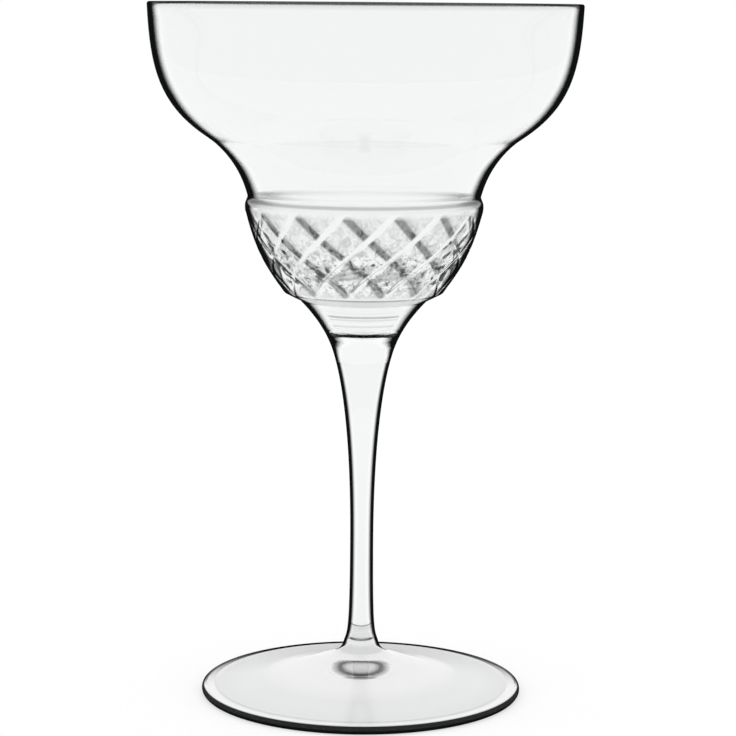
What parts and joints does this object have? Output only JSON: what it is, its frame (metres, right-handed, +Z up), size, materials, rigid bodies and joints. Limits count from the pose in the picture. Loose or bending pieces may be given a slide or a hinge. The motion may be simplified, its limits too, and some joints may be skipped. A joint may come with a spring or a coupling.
{
  "type": "margarita glass",
  "caption": "Stemmed cocktail glass with a wide cup, a smaller diamond-cut lower bowl, a slender drawn stem and a disc foot.",
  "frame": {"origin": "centre of the foot's base, on the surface that the glass stands on", "axes": "+Z up along the glass's axis, from the foot to the rim; -Y towards the viewer of the picture"},
  "size_m": [0.111, 0.111, 0.18],
  "materials": {
    "bowl_glass": "clear polished glass with a diamond-cut band",
    "stem_glass": "clear fire-polished drawn glass",
    "foot_glass": "clear polished glass"
  },
  "bodies": {
    "root": {"bowl": "bowl_glass", "stem": "stem_glass", "foot": "foot_glass"}
  },
  "joints": []
}
